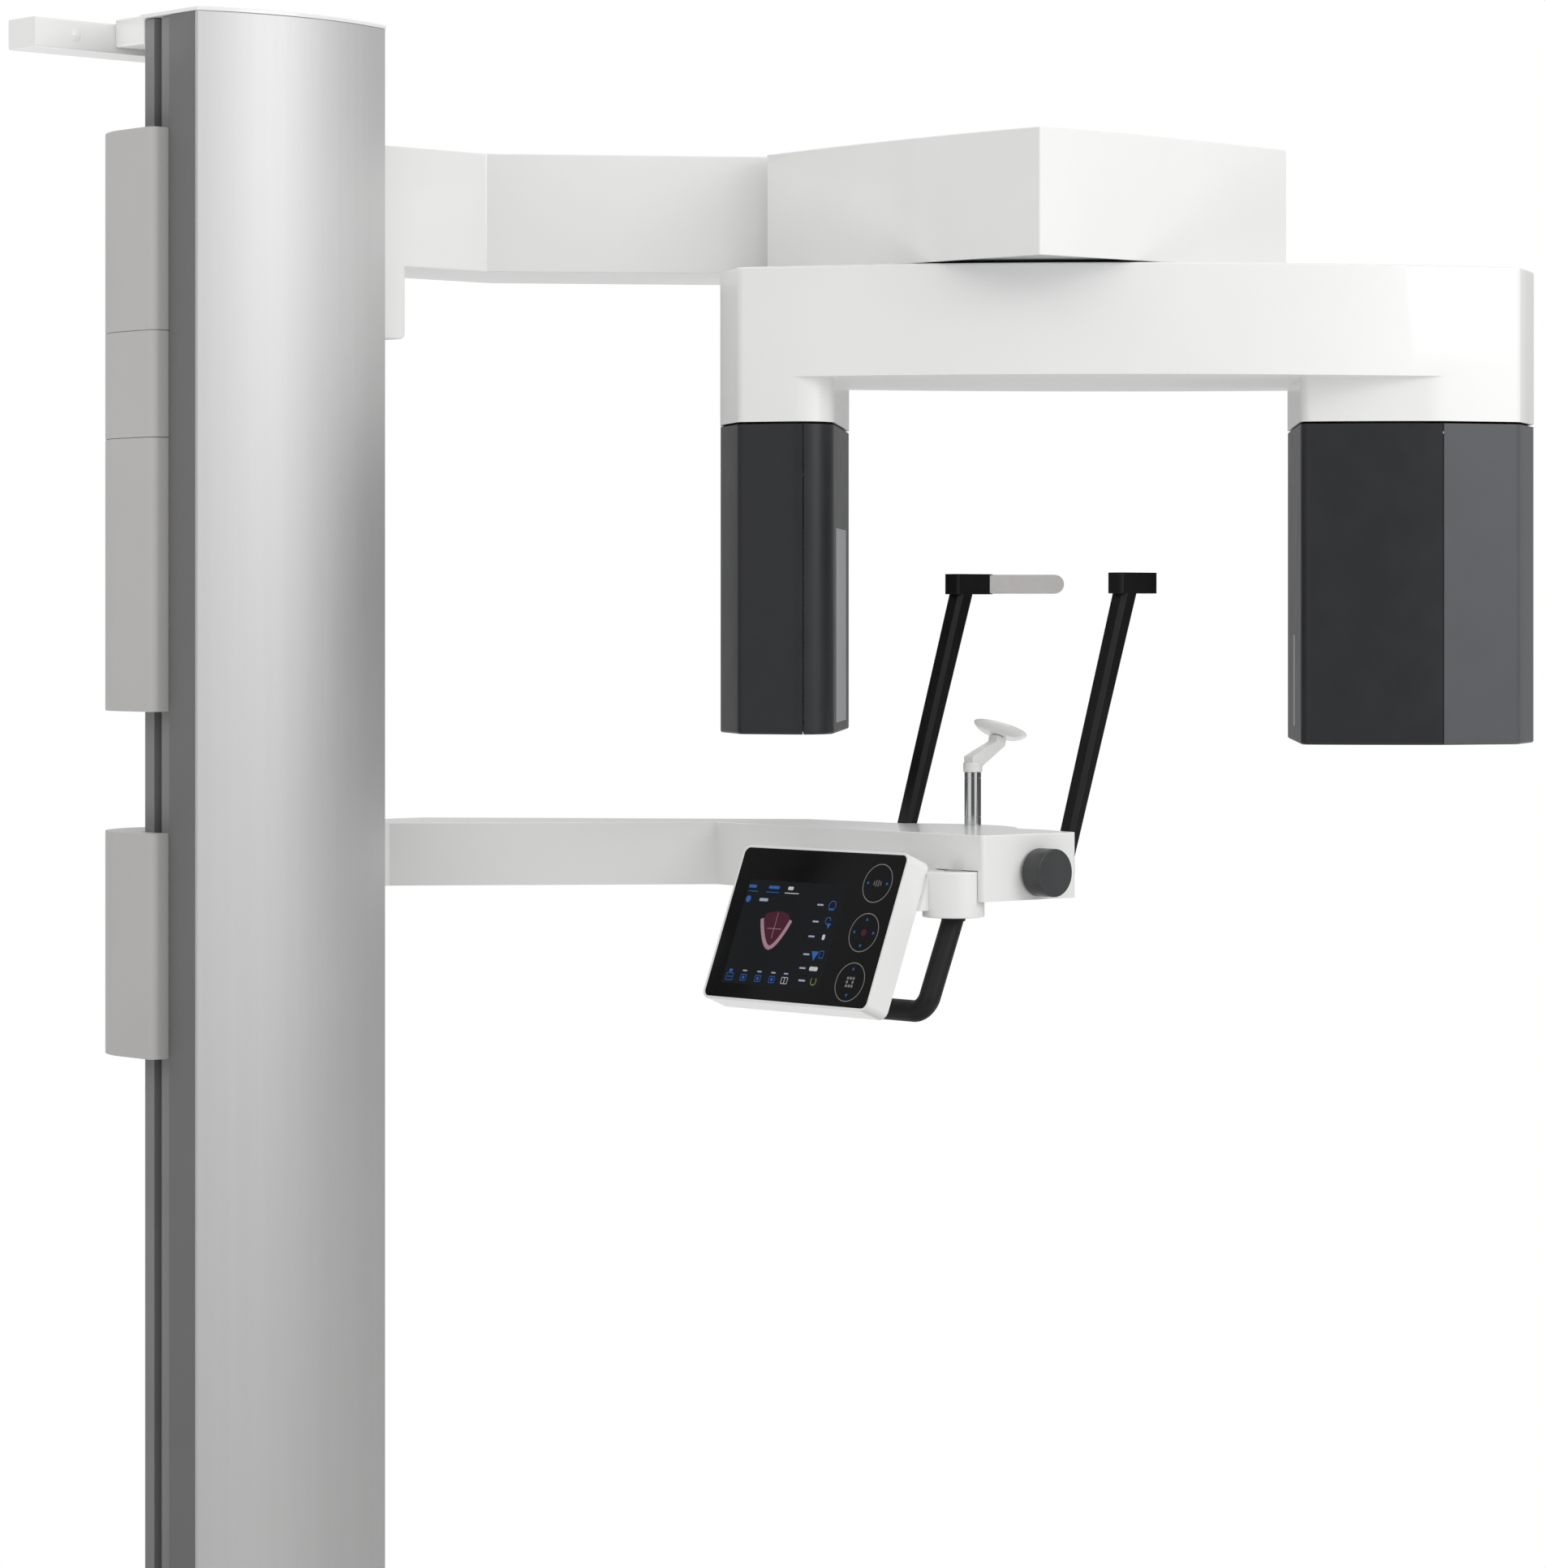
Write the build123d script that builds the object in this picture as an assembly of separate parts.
from build123d import *
from math import atan2, cos, degrees, hypot, radians, sin, sqrt, tan
import os

os.makedirs("parts", exist_ok=True)

# Panoramic X-ray machine for dental use. Millimetres, +Z up.
# Origin: on the floor, on the column's centre line. +X runs along the wall
# towards the patient, +Y runs into the wall behind the column.

# ---------------------------------------------------------------- overall sizes
machine_height = 2355.0
column_width = 292.0
axis_x, axis_y = 883.0, -490.0      # rotation axis of the C-arm
patient_y = axis_y - 10.0           # middle plane of the patient's head
chin_x = axis_x - 115.0             # chin column

# ---------------------------------------------------------------- clearances
running = 0.05                      # radial play of shafts and bearings
sliding = 0.3                       # play of guide shoes and slides
panel_gap = 0.5                     # joint lines between fixed covers
body_gap = 2.0                      # air between covers that pass each other
through = 2.0                       # how far a cutter runs past the face it cuts

# ---------------------------------------------------------------- floor stand
plate_thickness = 12.0
foot_height = 8.0
foot_radius = 30.0
foot_bore = 6.0
anchor_radius = 7.0
anchor_spacing_x, anchor_spacing_y = 190.0, 250.0
plate_reach = 150.0                 # how far the plate runs past the rotation axis, towards the room
plate_corner = 40.0
flange_thickness = 12.0
flange_rim, flange_bolt = 36.0, 5.5
flange_back = 8.0                   # how far the flange runs past the mast's back
plate_top = foot_height + plate_thickness
flange_top = plate_top + flange_thickness

# ---------------------------------------------------------------- column
column_front = -60.0                # where the side panels end and the bowed front starts
front_bow = 29.0
front_wall = 4.0
side_panel = 5.4
mast_wall = 6.0
mast_back = 60.0
mast_half = column_width / 2 - side_panel - 0.6
groove_depth, groove_low, groove_high = 16.0, 24.0, 40.0
channel_half, channel_floor = 30.0, 18.0
cap_thickness = 5.0
cap_lip = 1.0
bridge_height = 35.0
wall_plane = 185.0
stay_depth, stay_height, stay_length = 60.0, 38.0, 520.0
stay_bolt_spacing, stay_bolt_radius = 400.0, 5.5
cap_bottom = machine_height - cap_thickness
plate_half = mast_half + 50.0       # half width of the plate under the column
foot_x = mast_half + 10.0
stay_top = machine_height - 5.0
stay_bottom = stay_top - stay_height

# ---------------------------------------------------------------- lift drive
spindle_radius = 12.5
spindle_y = (channel_floor + mast_back) / 2
motor_height = 140.0
power_unit_low, power_unit_high = 40.0, 420.0   # above the foot flange
inlet_low, inlet_height, inlet_depth = 90.0, 28.0, 9.0
inlet_front, inlet_back = -46.0, -14.0
bearing_height = 24.0
nut_height = 60.0

# ---------------------------------------------------------------- carriages
carriage_overhang = 24.0            # how far the covers stand out beside the column
carriage_front, carriage_back = 2.0, 176.0
carriage_corner = 105.0
cover_wall = 3.0
carriage_top = machine_height - 145.0
top_section, middle_section, bottom_section = 252.0, 133.0, 341.0
carriage_half = column_width / 2 + carriage_overhang
carriage_bottom = carriage_top - top_section - middle_section - bottom_section
back_plate_front, back_plate_thickness = mast_back + 6.0, 8.0
cheek_thickness, cheek_gap = 6.0, 4.0
shoe_height = 90.0
actuator_x, actuator_y = 90.0, 110.0
actuator_rod, actuator_tube, actuator_wall = 8.0, 18.0, 9.0

# ---------------------------------------------------------------- upper arm and drive housing
arm_height = 155.0
arm_front, arm_back = 6.0, 175.0
arm_crease = 364.0
arm_slope = radians(-35.5)
arm_width = 222.0
lug_length, lug_drop = 59.0, 94.0
beam_inset, beam_wall = 22.0, 5.0
beam_height = 120.0
beam_reach = 40.0                   # how far the beam runs into the housing
housing_size_x, housing_size_y = 456.0, 504.0
housing_bow = 13.0
housing_height = 159.0
housing_wall = 3.5
housing_top = carriage_top
housing_bottom = housing_top - housing_height
housing_centre_x, housing_centre_y = axis_x - 7.0, axis_y + 9.0

# ---------------------------------------------------------------- scan stages and slewing bearing
stage_travel = 25.0
base_thickness = 8.0
rail_width, rail_height = 16.0, 12.0
stage_plate = 8.0
shoe_gap = 5.0
x_rail_offset, y_rail_offset = 165.0, 120.0
x_plate_half_x, x_plate_half_y = 145.0, 180.0
y_plate_half_x, y_plate_half_y = 138.0, 128.0
shaft_radius, shaft_bore = 55.0, 45.0
bearing_split, bearing_outer, ring_height = 75.0, 90.0, 20.0
pulley_radius, pinion_radius, pulley_height = 95.0, 15.0, 14.0
belt_thickness = 2.5
motor_radius = 30.0
motor_offset = 100.0
base_top = housing_bottom + 2.0 + base_thickness
x_plate_bottom = base_top + rail_height + shoe_gap
x_plate_top = x_plate_bottom + stage_plate
y_plate_bottom = x_plate_top + rail_height + shoe_gap
y_plate_top = y_plate_bottom + stage_plate
ring_top = y_plate_top + ring_height
pulley_bottom = ring_top + 2.0

# ---------------------------------------------------------------- C-arm, in its own u (along) and v (across) frame
rotor_angle = -42.2
rotor_gap = 2.0
beam_depth = 141.0
leg_drop = 198.0
u_detector, u_tube = -410.0, 645.0
u_left, u_right = -386.0, 613.0     # where the bowed sides end
v_apex, v_corner = 240.0, 150.0
detector_inner_front, detector_inner_back = -267.0, -236.0
tube_inner_front, tube_inner_back = 331.0, 349.0
detector_seam, tube_seam = -303.0, 511.0
shell = 4.0
head_inset, head_gap, seam_gap = 0.5, 3.0, 1.2
detector_length, tube_length = 396.0, 409.0
detector_window = 190.0, 252.0, 383.0  # width, height, and lower edge below the head's top
tube_window = 34.0, 120.0, 389.0
pane_depth = 1.3                    # from a head's inner face to the middle of its window
rotor_top = housing_bottom - rotor_gap
rotor_underside = rotor_top - beam_depth
leg_bottom = rotor_top - leg_drop
head_top = leg_bottom - head_gap
window_bottom = head_top - 372.0

# ---------------------------------------------------------------- patient frame
frame_drop = 877.0                  # frame top below the carriage top
frame_height = 82.0
frame_wall = 3.0
frame_carriage_length = 280.0
frame_side = chin_x - 30.0          # plane of the face towards the patient
temple_offset = 150.0               # from the middle plane to each temple arm
nose_half, nose_reach = temple_offset - 45.0, 48.0
frame_near = patient_y - temple_offset - 72.0
frame_inner = chin_x - 205.5        # left end of the frame's near face
frame_far = patient_y + 288.0       # where the frame's side face ends
frame_corner = chin_x - 48.0        # right end of the frame's near face
frame_front, frame_back = 65.0, 172.0
front_crease, back_crease = 249.0, 391.0
frame_top = carriage_top - frame_drop
frame_bottom = frame_top - frame_height
frame_carriage_bottom = frame_top - frame_carriage_length

# ---------------------------------------------------------------- temple support
temple_travel = 16.0
temple_foot_x = chin_x + 17.0         # where each arm's middle line crosses the frame's top
temple_lean = radians(18.8)
temple_section = 26.0
temple_top = frame_top + 299.0
head_block_back, head_block_front, head_block_height = 19.0, 48.5, 27.0
screw_x, screw_z = chin_x - 114.0, frame_top - 48.0
screw_radius = 6.0
tongue_width, tongue_height = 20.0, 20.0
nut_half = 14.0
pad_height, pad_thickness = 25.5, 8.0
pad_start, pad_reach, pad_tip = 40.0, 78.0, 74.0
knob_radius, knob_length = 30.0, 29.0
knob_gap, knob_bore = 3.5, 12.0
hanger_offset, hanger_thickness = temple_offset + 35.0, 12.0

# ---------------------------------------------------------------- chin rest
chin_rod, chin_boss = 10.75, 7.0
chin_rod_x = chin_x - 7.0
chin_rod_top = frame_top + 69.0
chin_rod_bottom = frame_bottom + 24.0
chin_cup_long, chin_cup_wide, chin_cup_thick = 38.0, 32.0, 12.0
chin_cup_x, chin_cup_z = chin_x + 41.0, frame_top + 119.0
chin_cup_tilt = 19.0
chin_arm_width = 16.0

# ---------------------------------------------------------------- control panel and handle
hub_x, hub_y = chin_x - 209.0, frame_near + 51.0
hub_radius, hub_height = 38.5, 57.0
hub_top = frame_top - 45.0
post_radius = 12.0
pocket_roof = hub_top + 1.0           # the post ends here, against the frame
glass_width, glass_height, glass_thickness = 297.0, 198.0, 1.8
panel_rim, panel_depth, panel_corner = 3.5, 35.0, 12.0
panel_tilt = radians(21.5)
panel_x, panel_y, panel_z = chin_x - 310.5, patient_y - 10.0, frame_top - 117.0
handle_radius = 13.5
handle_lean = 48.0
handle_drop = frame_top - 217.0     # height of the handle's grip
handle_bend = 20.0
handle_foot_x = frame_inner + 47.0


# ================================================================ helpers
def block(x0, x1, y0, y1, z0, z1):
    """Box between two corners."""
    return Pos((x0 + x1) / 2, (y0 + y1) / 2, (z0 + z1) / 2) * Box(x1 - x0, y1 - y0, z1 - z0)


def post(x, y, radius, z0, z1):
    """Upright cylinder."""
    return Pos(x, y, (z0 + z1) / 2) * Cylinder(radius, z1 - z0)


def ring(x, y, outer, inner, z0, z1):
    """Upright tube."""
    return post(x, y, outer, z0, z1) - post(x, y, inner, z0 - through, z1 + through)


def rod_y(x, z, radius, y0, y1):
    """Cylinder lying along Y."""
    return Pos(x, (y0 + y1) / 2, z) * Rot(90, 0, 0) * Cylinder(radius, y1 - y0)


def slab(face, z0, z1):
    """Upright prism over a face drawn on the floor plane."""
    return Pos(0, 0, z0) * extrude(face, z1 - z0, dir=(0, 0, 1))


def outline(start, *steps):
    """Closed face: a step is a point, or a (via, end) pair for an arc."""
    edges = []
    here = start
    for step in steps:
        if isinstance(step[0], tuple):
            edges.append(ThreePointArc(here, step[0], step[1]))
            here = step[1]
        else:
            edges.append(Line(here, step))
            here = step
    edges.append(Line(here, start))
    return make_face(edges)


def rounded(face, corners):
    """Round the corners nearest to (x, y), each by its own radius."""
    for x, y, radius in corners:
        corner = min(face.vertices(), key=lambda v: hypot(v.X - x, v.Y - y))
        face = fillet(corner, radius)
    return face


def inset(face, amount):
    """The same outline, drawn in by a wall."""
    return offset(face, -amount, kind=Kind.INTERSECTION)


def save(node, *solids):
    """One file per node; several solids make one group."""
    shape = solids[0] if len(solids) == 1 else Compound(children=list(solids))
    export_step(shape, f"parts/{node}.step")


# ================================================================ floor stand
def floor_stand():
    """Low steel plate that reaches under the C-arm, on levelling feet."""
    near, far = axis_y - plate_reach, wall_plane - 5.0
    reach = axis_x + 70.0
    plate = outline((-plate_half, far), (plate_half, far), (reach, axis_y + 160), (reach, near),
                    (reach - 180, near - 110), (chin_x - 330, near - 60), (-plate_half, -150))
    body = slab(plate, foot_height, plate_top)
    body = fillet(body.edges().filter_by(Axis.Z), plate_corner)
    feet_at = [(-foot_x, far - 45), (foot_x, far - 45), (reach - 60, axis_y + 110),
               (reach - 60, near + 20), (reach - 210, near - 55), (-foot_x, -110), (0, 0)]
    for x, y in feet_at:
        body -= post(x, y, foot_bore + 0.5, 0, plate_top + through)
    for x in (-1, 1):
        for y in (-1, 1):
            body -= post(x * anchor_spacing_x / 2, y * anchor_spacing_y / 2,
                         anchor_radius, 0, plate_top + through)
    save("base_plate", body)
    feet = []
    for x, y in feet_at:
        foot = post(x, y, foot_radius, 0, foot_height - 0.2)
        feet.append(foot + post(x, y, foot_bore, 0, plate_top - 1))
    save("levelling_feet", *feet)


# ================================================================ column
def bowed_plan(half_width, back):
    """Column plan: flat sides and back, bowed front."""
    return outline((-half_width, back), (-half_width, column_front),
                   ((0, column_front - front_bow), (half_width, column_front)),
                   (half_width, back))


def foot_flange():
    """Steel flange under the mast, with a bolt hole at each corner."""
    reach, bolt = mast_half + flange_rim, mast_half + flange_rim / 2
    flange = block(-reach, reach, column_front - flange_rim, mast_back + flange_back, plate_top, flange_top)
    for x in (-1, 1):
        for y in (column_front - flange_rim / 2, mast_back - flange_rim / 2):
            flange -= post(x * bolt, y, flange_bolt, plate_top - 1, flange_top + 1)
    return flange


def mast():
    """Extruded mast: closed chambers, side grooves for the shoes, rear channel for the spindle."""
    top = cap_bottom - 1
    front = column_front + mast_wall
    body = block(-mast_half, mast_half, front, mast_back, flange_top, top)
    low, high = flange_top - through, top + through
    body -= block(-mast_half + mast_wall, mast_half - mast_wall,
                  front + mast_wall, channel_floor - mast_wall, low, high)
    body -= block(-channel_half, channel_half, channel_floor, mast_back + 1, low, high)
    inner, outer = channel_half + 10, mast_half - groove_depth - 10
    for side in (-1, 1):
        x0, x1 = sorted((side * (mast_half - groove_depth), side * (mast_half + 1)))
        body -= block(x0, x1, groove_low, groove_high, low, high)
        x0, x1 = sorted((side * inner, side * outer))
        body -= block(x0, x1, channel_floor + mast_wall, mast_back - mast_wall, low, high)
    save("mast", body + foot_flange())


def column_covers():
    """Bowed front cover, side panels, cap, bridge to the wall and the stay bar."""
    half = column_width / 2
    plan = bowed_plan(half, column_front + mast_wall - panel_gap)
    front = slab(plan, flange_top, cap_bottom)
    inner = slab(inset(bowed_plan(half, column_front + 40), front_wall), flange_top - 1, cap_bottom + 1)
    save("column_front_cover", front - inner)
    panels = []
    for side in (-1, 1):
        x0, x1 = sorted((side * (mast_half + 0.3), side * half))
        panels.append(block(x0, x1, column_front + mast_wall, 0, flange_top, cap_bottom))
    save("column_side_panels", *panels)
    cap = slab(offset(bowed_plan(half, mast_back), cap_lip), cap_bottom, machine_height)
    cap = fillet(cap.edges().group_by(Axis.Z)[-1], 1.5)
    save("column_cap", cap)
    stay_front = wall_plane - stay_depth
    bridge = block(-mast_half, mast_half, mast_back + cap_lip + panel_gap, stay_front,
                   machine_height - bridge_height, machine_height)
    bridge = fillet(bridge.edges().filter_by(Axis.X).group_by(Axis.Z)[-1], 2)
    save("cap_bridge", bridge)
    half_bar = stay_length / 2
    bar = block(-half_bar, half_bar, stay_front, wall_plane, stay_bottom, stay_top)
    bar = fillet(bar.edges().filter_by(Axis.X), 3)
    middle = (stay_bottom + stay_top) / 2
    for side in (-1, 1):
        bar -= rod_y(side * stay_bolt_spacing / 2, middle, stay_bolt_radius,
                     stay_front - through, wall_plane + through)
    save("wall_stay_bar", bar)


def lift_drive():
    """Motor at the foot of the channel and the spindle between two bearings."""
    motor_top = flange_top + motor_height
    motor = block(-channel_half + 3, channel_half - 3, channel_floor + 1, mast_back - 1,
                  flange_top, motor_top)
    save("lift_motor", motor)
    low = motor_top + 2
    high = cap_bottom - 20
    bearings = []
    for z in (low + 4, high - bearing_height - 4):
        housing = block(-channel_half + 0.5, channel_half - 0.5, channel_floor + 0.5, mast_back,
                        z, z + bearing_height)
        bearings.append(housing - post(0, spindle_y, spindle_radius + running, z - 1,
                                       z + bearing_height + 1))
    save("spindle_bearings", *bearings)
    save("lift_spindle", post(0, spindle_y, spindle_radius, low, high))
    case = block(-mast_half + 16, mast_half - 16, column_front + 2 * mast_wall + 4,
                 channel_floor - 2 * mast_wall, flange_top + power_unit_low,
                 flange_top + power_unit_high)
    case = fillet(case.edges().filter_by(Axis.Z), 4)
    save("power_unit", case)


def mains_inlet():
    """Appliance inlet on the right side panel, near the floor."""
    half, rim = column_width / 2, 4.0
    low, high = flange_top + inlet_low, flange_top + inlet_low + inlet_height
    shell_body = block(half, half + inlet_depth, inlet_front, inlet_back, low, high)
    socket = block(half + 2, half + inlet_depth + 1, inlet_front + rim, inlet_back - rim,
                   low + rim, high - rim)
    save("mains_inlet", shell_body - socket)


# ================================================================ lift carriage
def cover_plan():
    """Carriage cover plan: one large rounded rear corner, square on the arm side."""
    half = carriage_half
    face = outline((-half, carriage_front), (half, carriage_front), (half, carriage_back),
                   (-half, carriage_back))
    return rounded(face, [(-half, carriage_back, carriage_corner), (half, carriage_back, 8),
                          (-half, carriage_front, 10), (half, carriage_front, 3)])


def cover_section(z0, z1, closed_low, closed_high):
    """One shell section that wraps round the back of the mast."""
    body = slab(cover_plan(), z0, z1)
    inner_low = z0 + cover_wall if closed_low else z0 - through
    inner_high = z1 - cover_wall if closed_high else z1 + through
    body -= slab(inset(cover_plan(), cover_wall), inner_low, inner_high)
    gap = mast_half + body_gap
    body -= block(-gap, gap, carriage_front - through, back_plate_front + 1, z0 - through, z1 + through)
    rod_bore = actuator_tube + body_gap
    body -= post(actuator_x, actuator_y, rod_bore, z0 - through, z0 + cover_wall + 1)
    return body


def carriage_frame(z0, z1):
    """Steel back plate with two cheeks that hold the guide shoes."""
    inner = mast_half + cheek_gap
    outer = inner + cheek_thickness
    back = back_plate_front + back_plate_thickness
    body = block(-outer, outer, back_plate_front, back, z0, z1)
    for side in (-1, 1):
        x0, x1 = sorted((side * inner, side * outer))
        body += block(x0, x1, carriage_front + 8, back, z0, z1)
    return body


def shoes(z0, z1):
    """Four guide shoes that run in the mast's side grooves."""
    inner = mast_half - groove_depth + 0.5
    outer = mast_half + cheek_gap
    made = []
    for side in (-1, 1):
        x0, x1 = sorted((side * inner, side * outer))
        for low in (z0, z1 - shoe_height):
            made.append(block(x0, x1, groove_low + sliding, groove_high - sliding,
                              low, low + shoe_height))
    return made


def lift_carriage():
    """Frame, shoes, nut, covers and the actuator tube of the main carriage."""
    frame_low, frame_high = carriage_bottom + 16, carriage_top - 12
    save("carriage_frame", carriage_frame(frame_low, frame_high),
         *shoes(frame_low + 10, frame_high - 10))
    z = (frame_low + frame_high) / 2
    nut = block(-22, 22, channel_floor + 3, back_plate_front, z, z + nut_height)
    save("lift_nut", nut - post(0, spindle_y, spindle_radius + running, z - 1, z + nut_height + 1))
    seam_high = carriage_top - top_section
    seam_low = seam_high - middle_section
    half_gap = panel_gap / 2
    top = cover_section(seam_high + half_gap, carriage_top, False, True)
    top -= block(carriage_half - 10, carriage_half + 2, arm_front + 8, arm_back - 8,
                 carriage_top - arm_height + 6, carriage_top - 6)
    save("carriage_cover_top", top)
    save("carriage_cover_middle", cover_section(seam_low + half_gap, seam_high - half_gap, False, False))
    save("carriage_cover_bottom", cover_section(carriage_bottom, seam_low - half_gap, True, False))
    tube_low, tube_high = carriage_bottom + 20, carriage_bottom + 290
    tube = ring(actuator_x, actuator_y, actuator_tube, actuator_wall, tube_low, tube_high)
    plate_back = back_plate_front + back_plate_thickness
    lug = block(actuator_x - 14, actuator_x + 14, plate_back, actuator_y - actuator_tube + 4,
                tube_low + 60, tube_low + 140)
    save("frame_actuator_tube", tube + lug)


# ================================================================ upper arm
def arm_plan(end_y, draw_in=0.0, start_x=carriage_half + panel_gap):
    """Arm plan: straight out of the carriage, then angled out to the housing."""
    run = tan(arm_slope)
    front, back = arm_front + draw_in, arm_back - draw_in
    lean = draw_in * tan(-arm_slope / 2)
    crease = arm_crease - lean
    rear_crease = arm_crease + (arm_width / cos(arm_slope) - (arm_back - arm_front)) / -run
    rear_crease += lean - 2 * lean
    front_end = crease + (end_y - front) / run
    back_end = rear_crease + (end_y - back) / run
    return outline((start_x, front), (crease, front), (front_end, end_y),
                   (back_end, end_y), (rear_crease, back), (start_x, back))


def housing_plan():
    """Square plan with four bowed sides."""
    x0, x1 = housing_centre_x - housing_size_x / 2, housing_centre_x + housing_size_x / 2
    y0, y1 = housing_centre_y - housing_size_y / 2, housing_centre_y + housing_size_y / 2
    middle_x, middle_y = housing_centre_x, housing_centre_y
    edges = [ThreePointArc((x0, y0), (middle_x, y0 - housing_bow), (x1, y0)),
             ThreePointArc((x1, y0), (x1 + housing_bow, middle_y), (x1, y1)),
             ThreePointArc((x1, y1), (middle_x, y1 + housing_bow), (x0, y1)),
             ThreePointArc((x0, y1), (x0 - housing_bow, middle_y), (x0, y0))]
    return make_face(edges)


def upper_arm():
    """Arm cover with its cable lug, and the steel box beam inside it."""
    rear = housing_centre_y + housing_size_y / 2
    z0, z1 = carriage_top - arm_height, carriage_top
    start = carriage_half + panel_gap
    outer = slab(arm_plan(rear), z0, z1)
    inner = slab(arm_plan(rear - 10, cover_wall, start - 1), z0 + cover_wall, z1 - cover_wall)
    lug_low, lug_end = z0 - lug_drop, carriage_half + lug_length
    lug = block(start, lug_end, arm_front, arm_back, lug_low, z0 + 1)
    lug = fillet(lug.edges().filter_by(Axis.Y).group_by(Axis.Z)[0].sort_by(Axis.X)[-1], 8)
    lug_inner = block(start - 1, lug_end - cover_wall, arm_front + cover_wall, arm_back - cover_wall,
                      lug_low + cover_wall, z0 + cover_wall + 1)
    cover = outer + lug - inner - lug_inner
    cover -= slab(offset(housing_plan(), panel_gap), z0 - 1, z1 + 1)
    save("upper_arm_cover", cover)
    low = base_top
    beam = slab(arm_plan(rear - beam_reach, beam_inset, start), low, low + beam_height)
    root_back = back_plate_front + back_plate_thickness
    beam += block(20, start + 20, root_back, arm_back - beam_inset, low, low + beam_height)
    hollow = slab(arm_plan(rear - beam_reach - 10, beam_inset + beam_wall, start),
                  low + beam_wall, low + beam_height - beam_wall)
    save("upper_arm_beam", beam - hollow)


def drive_housing():
    """White housing cover, its base plate and the two rails of the first stage."""
    rear = housing_centre_y + housing_size_y / 2
    cover = slab(housing_plan(), housing_bottom, housing_top)
    cover -= slab(inset(housing_plan(), housing_wall), housing_bottom - 1, housing_top - housing_wall)
    cover -= slab(arm_plan(rear - beam_reach, beam_inset - 1), base_top - 1, base_top + beam_height + 1)
    save("drive_housing_cover", cover)
    plate = slab(inset(housing_plan(), housing_wall + 1), base_top - base_thickness, base_top)
    window = shaft_radius + stage_travel + 5
    plate -= block(axis_x - window, axis_x + window, axis_y - window, axis_y + window,
                   base_top - base_thickness - 1, base_top + 1)
    reach = x_plate_half_x + stage_travel + 20
    rails = []
    for side in (-1, 1):
        y = axis_y + side * x_rail_offset
        rails.append(block(axis_x - reach, axis_x + reach, y - rail_width / 2, y + rail_width / 2,
                           base_top, base_top + rail_height))
    save("housing_base_plate", plate, *rails)


# ================================================================ scan stages
def x_stage():
    """First stage: plate, shoes on the base rails, and the rails of the second stage."""
    plate = block(axis_x - x_plate_half_x, axis_x + x_plate_half_x,
                  axis_y - x_plate_half_y, axis_y + x_plate_half_y, x_plate_bottom, x_plate_top)
    for side_y in (-1, 1):
        y = axis_y + side_y * x_rail_offset
        for side_x in (-1, 1):
            x = axis_x + side_x * (x_plate_half_x - 35)
            plate += block(x - 30, x + 30, y - rail_width / 2 - 6, y + rail_width / 2 + 6,
                           base_top + 3, x_plate_bottom)
        plate -= block(axis_x - 300, axis_x + 300, y - rail_width / 2 - sliding,
                       y + rail_width / 2 + sliding, base_top - 1, base_top + rail_height + sliding)
    hole_x, hole_y = shaft_radius + 4, shaft_radius + stage_travel + 5
    plate -= block(axis_x - hole_x, axis_x + hole_x, axis_y - hole_y, axis_y + hole_y,
                   x_plate_bottom - 1, x_plate_top + 1)
    rails = []
    for side in (-1, 1):
        x = axis_x + side * y_rail_offset
        rails.append(block(x - rail_width / 2, x + rail_width / 2, axis_y - 160, axis_y + 160,
                           x_plate_top, x_plate_top + rail_height))
    save("x_stage_plate", plate, *rails)


def y_stage():
    """Second stage: plate, outer bearing ring, motor and belt."""
    plate = block(axis_x - y_plate_half_x, axis_x + y_plate_half_x,
                  axis_y - y_plate_half_y, axis_y + y_plate_half_y, y_plate_bottom, y_plate_top)
    for side_x in (-1, 1):
        x = axis_x + side_x * y_rail_offset
        for side_y in (-1, 1):
            y = axis_y + side_y * (y_plate_half_y - 35)
            plate += block(x - rail_width / 2 - 6, x + rail_width / 2 + 6, y - 30, y + 30,
                           x_plate_top + 3, y_plate_bottom)
        plate -= block(x - rail_width / 2 - sliding, x + rail_width / 2 + sliding,
                       axis_y - 300, axis_y + 300, x_plate_top - 1,
                       x_plate_top + rail_height + sliding)
    plate -= post(axis_x, axis_y, shaft_radius + 4, y_plate_bottom - 1, y_plate_top + 1)
    save("y_stage_plate", plate)
    save("slewing_outer_ring", ring(axis_x, axis_y, bearing_outer, bearing_split, y_plate_top, ring_top))
    motor_x, motor_y = axis_x + motor_offset, axis_y - motor_offset
    motor = post(motor_x, motor_y, motor_radius, y_plate_top, ring_top)
    save("rotation_motor", motor - post(motor_x, motor_y, 4 + running, ring_top - 10, ring_top + 1))
    pinion = post(motor_x, motor_y, pinion_radius, pulley_bottom, pulley_bottom + pulley_height)
    save("rotation_pinion", pinion + post(motor_x, motor_y, 4, ring_top - 9, pulley_bottom + 1))
    play = 0.4
    inner = belt_loop(play)
    outer = belt_loop(play + belt_thickness)
    z0 = pulley_bottom + 2
    save("rotation_belt", slab(outer, z0, z0 + 10) - slab(inner, z0 - 1, z0 + 11))


def belt_loop(grow):
    """Outline of a belt round the two pulleys, stood off by a distance."""
    big = Pos(axis_x, axis_y) * Circle(pulley_radius + grow)
    small = Pos(axis_x + motor_offset, axis_y - motor_offset) * Circle(pinion_radius + grow)
    return make_hull(big.edges() + small.edges())


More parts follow.
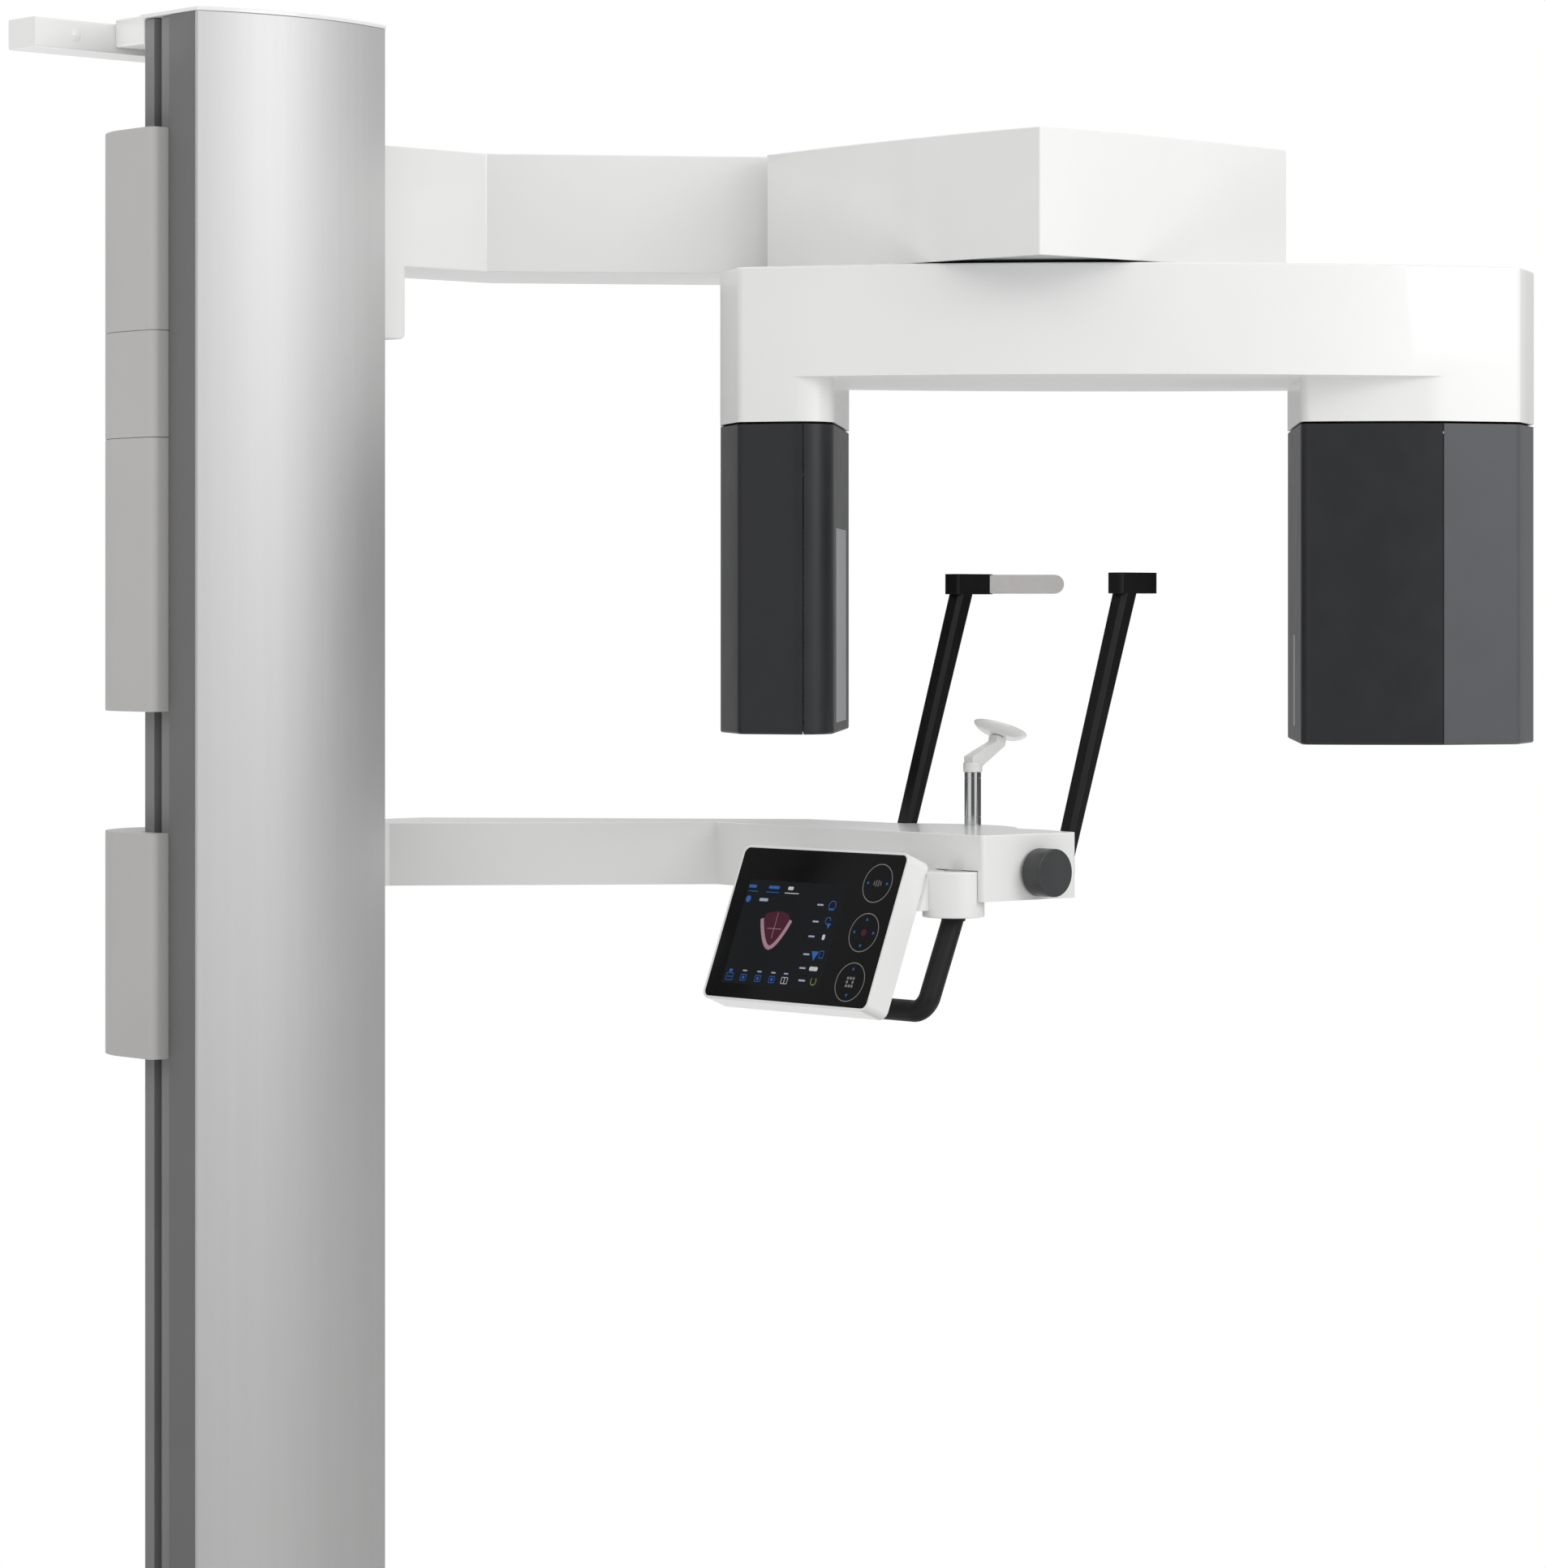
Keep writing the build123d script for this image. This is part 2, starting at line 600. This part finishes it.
# ================================================================ C-arm
at_rotor = Pos(axis_x, axis_y, 0) * Rot(0, 0, rotor_angle)
bow_middle = (u_left + u_right) / 2
bow_rise = v_apex - v_corner
bow_radius = (((u_right - u_left) / 2) ** 2 + bow_rise ** 2) / (2 * bow_rise)


def bow(u):
    """Half depth of the bowed C-arm at a place along it."""
    return v_apex - bow_radius + sqrt(bow_radius ** 2 - (u - bow_middle) ** 2)


def c_arm_plan():
    """Whole C-arm seen from above: two bowed sides and cut-off ends."""
    face = outline((u_left, -v_corner), ((bow_middle, -v_apex), (u_right, -v_corner)),
                   (u_tube, -60), (u_tube, 60), (u_right, v_corner),
                   ((bow_middle, v_apex), (u_left, v_corner)), (u_detector, 50), (u_detector, -50))
    return rounded(face, [(u_left, -v_corner, 14), (u_right, -v_corner, 14),
                          (u_right, v_corner, 14), (u_left, v_corner, 14)])


def detector_plan():
    """Detector leg and head."""
    inner_front = (detector_inner_front, -bow(detector_inner_front))
    inner_back = (detector_inner_back, bow(detector_inner_back))
    via = (u_left + detector_inner_front) / 2
    via_back = (u_left + detector_inner_back) / 2
    face = outline((u_left, -v_corner), ((via, -bow(via)), inner_front), inner_back,
                   ((via_back, bow(via_back)), (u_left, v_corner)),
                   (u_detector, 50), (u_detector, -50))
    return rounded(face, [(*inner_front, 44), (*inner_back, 30), (u_left, -v_corner, 14),
                          (u_left, v_corner, 14)])


def tube_plan():
    """X-ray leg and head, set back towards the inner side."""
    front = (tube_seam, -bow(tube_seam))
    back = (tube_seam, bow(tube_seam))
    via = (tube_seam + u_right) / 2
    middle = (tube_inner_front + tube_seam) / 2
    face = outline((tube_inner_front, -167), ((middle, -182), front),
                   ((via, -bow(via)), (u_right, -v_corner)), (u_tube, -60), (u_tube, 60),
                   (u_right, v_corner), ((via, bow(via)), back),
                   ((middle, 182), (tube_inner_back, 167)))
    return rounded(face, [(tube_inner_front, -167, 16), (tube_inner_back, 167, 16),
                          (u_right, -v_corner, 14), (u_right, v_corner, 14)])


def c_arm():
    """White shell with two legs, and the beam, shaft, ring and pulley that turn with it."""
    cover = slab(c_arm_plan(), rotor_underside, rotor_top)
    cover = fillet(cover.edges().group_by(Axis.Z)[-1], 3)
    cavity = slab(inset(c_arm_plan(), shell), rotor_underside + shell, rotor_top - shell)
    for plan in (detector_plan(), tube_plan()):
        cover += slab(plan, leg_bottom, rotor_underside + 1)
        cavity += slab(inset(plan, shell), leg_bottom - 1, rotor_underside + shell + 1)
    cover = cover - cavity - post(0, 0, shaft_radius + 2, rotor_top - 20, rotor_top + 1)
    save("c_arm_cover", at_rotor * cover)
    low, high = rotor_underside + 25, rotor_top - 20
    beam = slab(inset(c_arm_plan(), 45), low, high)
    beam -= slab(inset(c_arm_plan(), 53), low + 6, high - 6)
    beam += post(0, 0, shaft_radius + 30, low, high)
    for u0, u1 in ((detector_inner_front - 85, detector_inner_front - 25),
                   (tube_inner_back + 60, tube_inner_back + 160)):
        beam += block(u0, u1, -50, 50, head_top - 60, low + 2)
    save("c_arm_beam", at_rotor * beam)
    shaft = ring(0, 0, shaft_radius, shaft_bore, high, pulley_bottom)
    shaft += ring(0, 0, shaft_radius + 25, shaft_bore, high, high + 10)
    pulley_top = pulley_bottom + pulley_height
    shaft += ring(0, 0, pulley_radius, shaft_bore, pulley_bottom, pulley_top)
    save("rotor_shaft", at_rotor * shaft)
    save("slewing_inner_ring", ring(axis_x, axis_y, bearing_split - running, shaft_radius,
                                    y_plate_top, ring_top))


def head_shell(plan, length):
    """Head cover, closed below, with a small round on its lower edge."""
    z0 = head_top - length
    body = slab(inset(plan, head_inset), z0, head_top)
    body = fillet(body.edges().group_by(Axis.Z)[0], 3)
    return body - slab(inset(plan, head_inset + shell), z0 + shell, head_top + 1)


def window_box(u, turn, depth, window, play=0.0):
    """Box on a head's inner wall, where its beam window sits."""
    width, height, drop = window
    place = Pos(u, 0, head_top - drop + height / 2) * Rot(0, 0, turn)
    return place * Box(depth, width - play, height - play)


def heads():
    """Two heads, each split at its joint line, with windows and what is inside."""
    detector = head_shell(detector_plan(), detector_length)
    tube = head_shell(tube_plan(), tube_length)
    slope = degrees(atan2(detector_inner_back - detector_inner_front, 2 * bow(-250)))
    tube_slope = degrees(atan2(tube_inner_back - tube_inner_front, 334))
    detector_u = (detector_inner_front + detector_inner_back) / 2 - head_inset
    tube_u = (tube_inner_front + tube_inner_back) / 2 + head_inset
    cut = seam_gap / 2
    far = 900
    outer_half = block(-far, detector_seam - cut, -far, far, 0, 3000)
    inner_half = block(detector_seam + cut, 0, -far, far, 0, 3000)
    save("detector_outer_cover", at_rotor * (detector & outer_half))
    save("detector_inner_cover", at_rotor * ((detector & inner_half)
                                             - window_box(detector_u, -slope, 24, detector_window)))
    inner_half = block(0, tube_seam - cut, -far, far, 0, 3000)
    outer_half = block(tube_seam + cut, far, -far, far, 0, 3000)
    save("tube_outer_cover", at_rotor * (tube & outer_half))
    save("tube_inner_cover", at_rotor * ((tube & inner_half)
                                         - window_box(tube_u, -tube_slope, 24, tube_window)))
    panes = ((detector_u - pane_depth, -slope, detector_window),
             (tube_u + pane_depth, -tube_slope, tube_window))
    windows = [at_rotor * window_box(u, turn, 2.5, window, play=0.6) for u, turn, window in panes]
    save("beam_windows", *windows)
    z0 = window_bottom - 10
    panel = block(detector_u - 62, detector_u - 22, -90, 90, z0, z0 + 250)
    save("image_sensor", at_rotor * fillet(panel.edges().filter_by(Axis.Z), 4))
    source = post(tube_u + 130, 0, 85, z0 - 10, z0 + 250) & block(0, far, -70, 70, 0, 3000)
    save("tube_unit", at_rotor * source)
    plate = block(tube_u + 14, tube_u + 44, -60, 60, z0, z0 + 200)
    slit = block(tube_u, tube_u + 60, -4, 4, z0 + 20, z0 + 180)
    save("collimator", at_rotor * (plate - slit))


# ================================================================ patient frame
def frame_plan():
    """Frame plan: out of the carriage, angled, then along the patient, with a nose for the chin."""
    start = carriage_half + panel_gap
    nose_x = frame_side + nose_reach
    return outline((start, frame_front), (front_crease, frame_front),
                   (frame_inner + 27, frame_far + 17), (frame_inner, frame_near + 3),
                   (frame_corner, frame_near - 3), (frame_side, patient_y - temple_offset - 2),
                   (frame_side, patient_y - nose_half),
                   ((nose_x, patient_y), (frame_side, patient_y + nose_half)),
                   (frame_side, frame_far), (back_crease, frame_back), (start, frame_back))


def patient_frame():
    """Frame cover, its beam, carriage, covers and the socket of the chin column."""
    plan = rounded(frame_plan(), [(frame_inner, frame_near, 5), (frame_corner, frame_near, 5),
                                  (frame_side, frame_far, 20)])
    cover = slab(plan, frame_bottom, frame_top)
    cover = fillet(cover.edges().group_by(Axis.Z)[-1], 1.5)
    cover -= slab(inset(frame_plan(), frame_wall), frame_bottom + frame_wall, frame_top - frame_wall)
    pocket = post(hub_x, hub_y, hub_radius + 4, frame_bottom, pocket_roof + frame_wall)
    cover += pocket & slab(frame_plan(), frame_bottom, frame_top)
    cover -= post(hub_x, hub_y, hub_radius + 0.8, frame_bottom - 1, pocket_roof)
    for side in (-1, 1):
        y = patient_y + side * temple_offset
        reach = tongue_width / 2 + temple_travel + 2
        cover -= block(frame_side - 12, frame_side + 3, y - reach, y + reach,
                       screw_z - tongue_height / 2 - 1, screw_z + tongue_height / 2 + 1)
    boss = post(chin_rod_x, patient_y, chin_rod + chin_boss, frame_bottom + 1, frame_top)
    cover = cover + boss - post(chin_rod_x, patient_y, chin_rod + running,
                                frame_bottom + frame_wall, frame_top + 1)
    cover -= rod_y(screw_x, screw_z, screw_radius + 1, frame_near - 10, frame_near + 10)
    cover -= block(carriage_half, carriage_half + panel_gap + frame_wall + 1, frame_front + 5,
                   frame_back - 4, frame_bottom + 5, frame_top - 5)
    save("frame_cover", cover)

    low, high = frame_bottom + 8, frame_top - 8
    beam = slab(inset(frame_plan(), 12), low, high)
    beam -= slab(inset(frame_plan(), 18), low + 5, high - 5)
    room = screw_x - 26
    beam -= block(room, chin_x + 60, frame_near - 20, patient_y + hanger_offset + 15, low - 1, high + 1)
    beam -= post(hub_x, hub_y, hub_radius + 6, low - 1, pocket_roof + frame_wall + 1)
    for y in (frame_near + 14, patient_y + hanger_offset):
        hanger = block(room - 8, screw_x + 14, y, y + hanger_thickness, low, high)
        beam += hanger - rod_y(screw_x, screw_z, screw_radius + running, y - 1,
                               y + hanger_thickness + 1)
    tail = back_plate_front + back_plate_thickness
    beam += block(actuator_x + actuator_tube + 4, carriage_half + 30, tail, 150, low, high)
    save("frame_beam", beam)


def frame_carriage():
    """Second carriage on the mast, joined to the first by a rod."""
    low, high = frame_carriage_bottom + 8, frame_top - 8
    save("frame_carriage_plate", carriage_frame(low, high), *shoes(low + 4, high - 4))
    cover = slab(cover_plan(), frame_carriage_bottom, frame_top)
    cover -= slab(inset(cover_plan(), cover_wall), frame_carriage_bottom + cover_wall,
                  frame_top - cover_wall)
    gap = mast_half + body_gap
    cover -= block(-gap, gap, carriage_front - through, back_plate_front + 1,
                   frame_carriage_bottom - 1, frame_top + 1)
    cover -= post(actuator_x, actuator_y, actuator_rod + body_gap, frame_top - cover_wall - 1,
                  frame_top + 1)
    cover -= block(carriage_half - 10, carriage_half + 2, frame_front + 5, frame_back - 4,
                   frame_bottom + 4, frame_top - 4)
    save("frame_carriage_cover", cover)
    foot = frame_top - 130
    rod = post(actuator_x, actuator_y, actuator_rod, foot, carriage_bottom + 180)
    anchor = block(actuator_x - 14, actuator_x + 14, back_plate_front + back_plate_thickness,
                   actuator_y + 14, foot - 16, foot + 1)
    save("frame_actuator_rod", rod + anchor)


# ================================================================ temple support
def temple_arm(side):
    """Nut, tongue, leaning arm and head block of one temple support; side +1 is towards the wall."""
    y = patient_y + side * temple_offset
    half = temple_section / 2
    foot_z = screw_z + tongue_height / 2
    lean = tan(temple_lean)
    foot_x = temple_foot_x - (frame_top - foot_z) * lean
    nut = block(screw_x - nut_half, screw_x + nut_half, y - nut_half, y + nut_half,
                screw_z - nut_half, screw_z + nut_half)
    nut -= rod_y(screw_x, screw_z, screw_radius + running, y - 20, y + 20)
    tongue = block(screw_x + nut_half, foot_x + half, y - tongue_width / 2, y + tongue_width / 2,
                   screw_z - tongue_height / 2, foot_z)
    reach = half / cos(temple_lean)
    bottom = foot_z - tongue_height + 2
    x0 = foot_x - (foot_z - bottom) * lean
    x1 = foot_x + (temple_top - foot_z) * lean
    side_face = Plane.XZ * make_face(Polyline((x0 - reach + 8, bottom), (x0 + reach, bottom),
                                              (x1 + reach, temple_top), (x1 - reach, temple_top),
                                              close=True))
    bar = Pos(0, y + half, 0) * extrude(side_face, temple_section, dir=(0, -1, 0))
    bar -= block(0, frame_side + 2, y - 20, y + 20, bottom - 5, foot_z + 10)
    long_edges = [e for e in bar.edges() if abs((e @ 1 - e @ 0).Z) > 200]
    bar = chamfer(long_edges, 5)
    top = block(x1 - head_block_back, x1 + head_block_front, y - half, y + half,
                temple_top, temple_top + head_block_height)
    top = fillet(top.edges().filter_by(Axis.Z), 4)
    pad_x0, pad_y0 = x1 + pad_start, y - side * half * 0.5
    pad_x1, pad_y1 = pad_x0 + pad_reach, patient_y + side * pad_tip
    length = hypot(pad_x1 - pad_x0, pad_y1 - pad_y0)
    turn = degrees(atan2(pad_y1 - pad_y0, pad_x1 - pad_x0))
    z = temple_top + head_block_height / 2
    pad = Pos(pad_x0, pad_y0, z) * Rot(0, 0, turn) * Pos(length / 2, 0, 0)
    pad = pad * Box(length, pad_thickness, pad_height)
    tips = [e for e in pad.edges() if abs((e @ 1 - e @ 0).Z) < 1 and e.length < pad_thickness + 0.1
            and e.center().X > pad_x1 - 6]
    pad = fillet(tips, pad_height / 2 - 1)
    return nut + tongue + bar + top - pad, pad


def temple_support():
    """Both temple arms and the screw and knob that spread them."""
    for side, name in ((1, "left"), (-1, "right")):
        arm, pad = temple_arm(side)
        save(f"temple_arm_{name}", arm)
        save(f"temple_pad_{name}", pad)
    knob_back = frame_near - knob_gap
    screw_end = knob_back - knob_bore
    screw = rod_y(screw_x, screw_z, screw_radius, screw_end, patient_y + hanger_offset + 11)
    save("temple_screw", screw)
    knob = rod_y(screw_x, screw_z, knob_radius, knob_back - knob_length, knob_back)
    knob = fillet(knob.edges().group_by(Axis.Y)[0], 4)
    save("temple_knob", knob - rod_y(screw_x, screw_z, screw_radius + running, screw_end,
                                     knob_back + 1))


# ================================================================ chin rest
def chin_rest():
    """Chrome column, bent arm and oval cup."""
    save("chin_column", post(chin_rod_x, patient_y, chin_rod, chin_rod_bottom, chin_rod_top))
    top = chin_rod_top
    collar = post(chin_rod_x, patient_y, chin_rod + 1.5, top, top + 12)
    side_face = Plane.XZ * make_face(Polyline(
        (chin_rod_x - 8, top + 6), (chin_rod_x + 8, top + 6), (chin_cup_x + 3, chin_cup_z - 17),
        (chin_cup_x + 7, chin_cup_z), (chin_cup_x - 10, chin_cup_z),
        (chin_cup_x - 12, chin_cup_z - 11), (chin_rod_x - 8, top + 20), close=True))
    strut = Pos(0, patient_y + chin_arm_width / 2, 0) * extrude(side_face, chin_arm_width, dir=(0, -1, 0))
    strut = fillet(strut.edges().filter_by(Axis.Y).sort_by(Axis.Z)[0:4], 2)
    arm = collar + strut
    cup_place = Pos(chin_cup_x, patient_y, chin_cup_z) * Rot(0, chin_cup_tilt, 0)
    dish = extrude(Ellipse(chin_cup_long, chin_cup_wide), chin_cup_thick / 2, both=True)
    dish = chamfer(dish.edges().group_by(Axis.Z)[0], 5)
    scoop = Pos(0, 0, 66) * Sphere(65)
    dish = cup_place * (dish - scoop)
    save("chin_cup", dish)
    above = Pos(0, 0, 30 - chin_cup_thick / 2) * Box(4 * chin_cup_long, 4 * chin_cup_wide, 60)
    save("chin_arm", arm - cup_place * above)


# ================================================================ control panel and handle
panel_face = Plane(origin=(panel_x, panel_y, panel_z), x_dir=(0, -1, 0),
                   z_dir=(-cos(panel_tilt), 0, sin(panel_tilt)))


def tray(width, height, corner, low, high):
    """Rounded slab on the panel's own plane."""
    return panel_face * (Pos(0, 0, low) * extrude(RectangleRounded(width, height, corner), high - low))


def control_panel():
    """Touch panel in a white tray, swivelling on a drum under the frame."""
    width, height = glass_width + 2 * panel_rim, glass_height + 2 * panel_rim
    glass_corner = panel_corner - panel_rim
    body = tray(width, height, panel_corner, -panel_depth, 1)
    housing = body - tray(glass_width + 0.6, glass_height + 0.6, glass_corner, -1, 2)
    housing -= tray(width - 8, height - 8, glass_corner, -panel_depth + 3, 0)
    save("panel_housing", housing)
    save("panel_glass", tray(glass_width, glass_height, glass_corner, -1, glass_thickness - 1))
    save("panel_board", tray(glass_width - 20, glass_height - 20, 3, -16, -12))
    low = hub_top - hub_height
    drum = ring(hub_x, hub_y, hub_radius, post_radius + running, low, hub_top)
    drum = fillet(drum.edges().filter_by(GeomType.CIRCLE).group_by(SortBy.RADIUS)[-1], 2)
    bracket = block(panel_x + 40, hub_x - 6, hub_y + 4, hub_y + 62, low + 9, hub_top - 6)
    bracket -= tray(width + 200, height + 200, 20, -panel_depth, 20)
    bracket -= post(hub_x, hub_y, hub_radius - 2, low - 1, hub_top + 1)
    save("panel_bracket", drum + bracket)


def handle():
    """Black grip tube from the hub's post to a foot under the frame."""
    far_y = 2 * patient_y - hub_y
    low = hub_top - hub_height
    drop_x = hub_x - handle_lean
    path = FilletPolyline((hub_x, hub_y, low - 1), (drop_x, hub_y, handle_drop),
                          (drop_x, far_y, handle_drop), (handle_foot_x, far_y, frame_bottom - 9),
                          radius=handle_bend)
    tube = sweep(Plane(path @ 0, z_dir=path % 0) * Circle(handle_radius), path)
    near_end = post(hub_x, hub_y, handle_radius + 1.5, low - 5, low - 1)
    spigot = post(hub_x, hub_y, post_radius, low - 3, pocket_roof)
    far_end = post(handle_foot_x, far_y, handle_radius + 5, frame_bottom - 8, frame_bottom)
    save("patient_handle", tube - block(hub_x - 40, hub_x + 40, hub_y - 40, hub_y + 40, low - 1, low + 20)
         + near_end + spigot + far_end)


floor_stand()
mast()
column_covers()
lift_drive()
mains_inlet()
lift_carriage()
upper_arm()
drive_housing()
x_stage()
y_stage()
c_arm()
heads()
patient_frame()
frame_carriage()
temple_support()
chin_rest()
control_panel()
handle()
